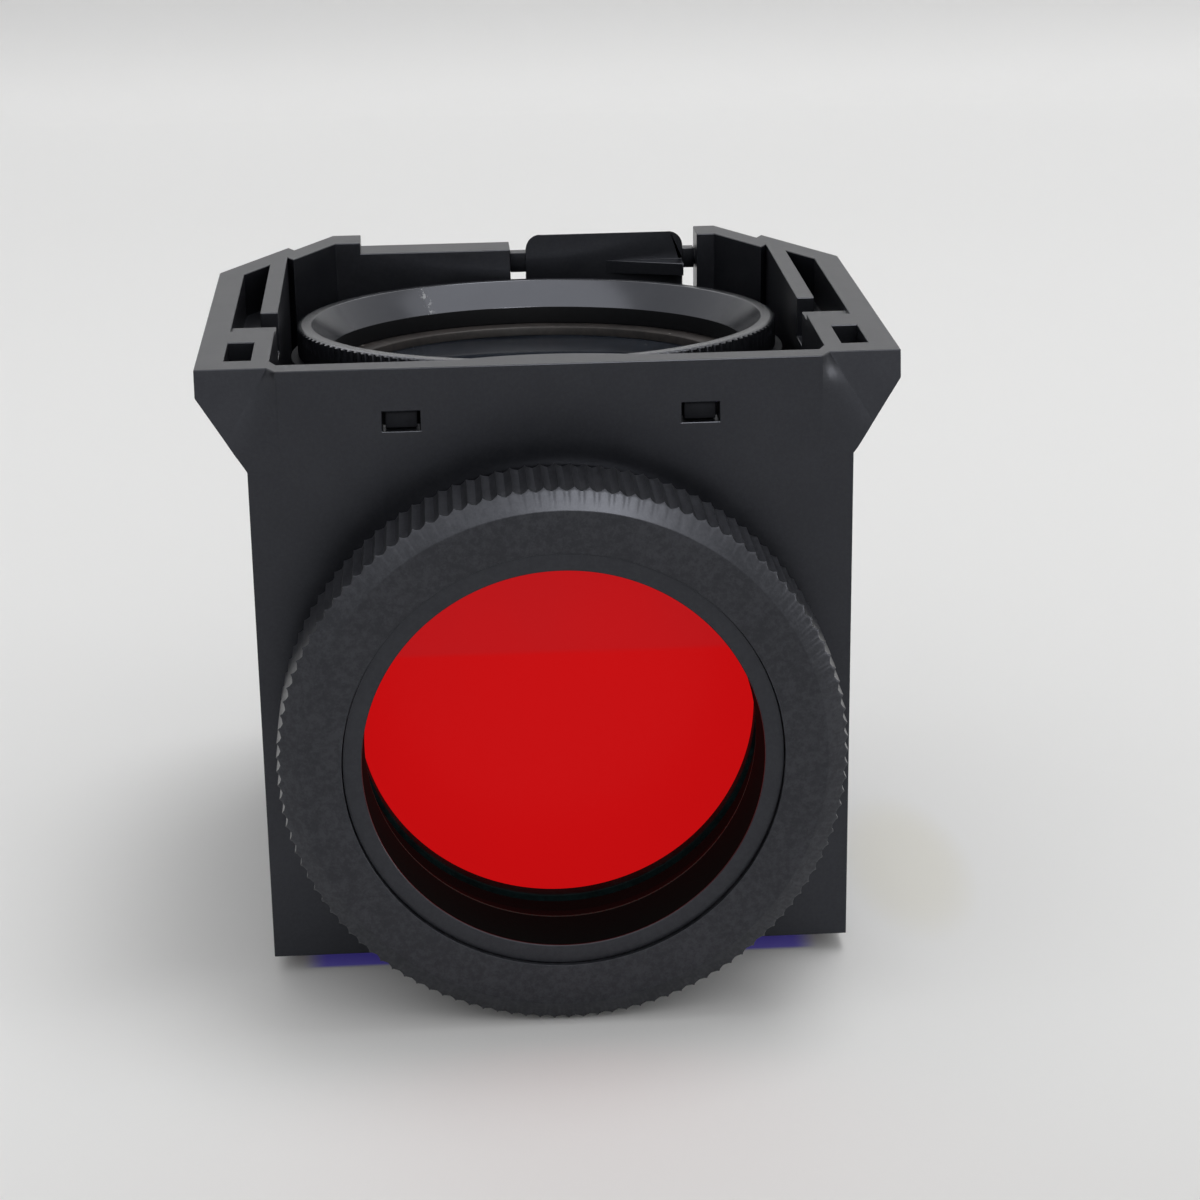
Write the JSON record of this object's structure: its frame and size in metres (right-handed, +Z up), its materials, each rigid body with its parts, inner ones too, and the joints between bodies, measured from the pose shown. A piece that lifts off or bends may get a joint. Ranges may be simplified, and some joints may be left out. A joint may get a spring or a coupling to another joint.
{
  "type": "fluorescence filter cube",
  "caption": "Black dovetail filter cube with a knurled exciter ring in front, a tilted emitter ring in the open top, a slanted dichroic inside and a rocking latch behind.",
  "frame": {"origin": "optical centre, where the exciter axis meets the emitter axis on the coated face of the dichroic mirror", "axes": "+X to the right seen from the exciter ring, +Y away from the exciter ring, +Z up to the emitter side"},
  "size_m": [0.0378, 0.042, 0.0351],
  "materials": {
    "moulded_plastic": "matte black moulding",
    "anodised": "black anodised",
    "cell": "dull anodised",
    "bronze_cell": "brown anodised",
    "exciter_filter": "red reflecting interference coating",
    "emitter_filter": "dark bluish interference coating",
    "dichroic_coating": "thin dichroic coating",
    "frame": "black anodised",
    "spring_steel": "rolled",
    "screw_steel": "blackened",
    "gasket": "soft"
  },
  "bodies": {
    "housing": {"housing": "moulded_plastic", "emitter_holder": "moulded_plastic", "emitter_gasket": "gasket", "exciter_gasket": "gasket", "dichroic_frame": "frame", "dichroic_mirror": "dichroic_coating", "dichroic_clip_right": "spring_steel", "dichroic_clip_left": "spring_steel", "dichroic_screws": "screw_steel"},
    "exciter_carrier": {"exciter_sleeve": "anodised", "exciter_washer": "spring_steel", "exciter_cell": "cell", "exciter_glass": "exciter_filter", "exciter_retainer": "anodised"},
    "exciter_ring": {"exciter_ring": "anodised"},
    "emitter_carrier": {"emitter_cell": "bronze_cell", "emitter_glass": "emitter_filter", "emitter_retainer": "anodised"},
    "emitter_ring": {"emitter_ring": "anodised"},
    "latch_lever": {"latch_lever": "moulded_plastic"}
  },
  "joints": [
    {"name": "exciter_slide", "type": "slide", "parent": "housing", "child": "exciter_carrier", "axis": [0, -1, 0], "range_m": [0, 0.00225]},
    {"name": "exciter_turn", "type": "hinge", "parent": "exciter_carrier", "child": "exciter_ring", "pos_m": [0, 0, 0], "axis": [0, -1, 0], "range_deg": [0, 1080]},
    {"name": "emitter_slide", "type": "slide", "parent": "housing", "child": "emitter_carrier", "axis": [0, 0.0604, 0.9982], "range_m": [0, 0.0015]},
    {"name": "emitter_turn", "type": "hinge", "parent": "emitter_carrier", "child": "emitter_ring", "pos_m": [0, 0, 0.01832], "axis": [0, 0.0604, 0.9982], "range_deg": [0, 720]},
    {"name": "latch_rock", "type": "hinge", "parent": "housing", "child": "latch_lever", "pos_m": [0.0051, 0.01655, 0.01804], "axis": [1, 0, 0], "range_deg": [0, 15], "stiffness_Nm_per_rad": 0.02}
  ],
  "couplings": [
    {"joint": "exciter_slide", "follows": "exciter_turn", "m_per_rad": 0.00011937},
    {"joint": "emitter_slide", "follows": "emitter_turn", "m_per_rad": 0.00011937}
  ]
}
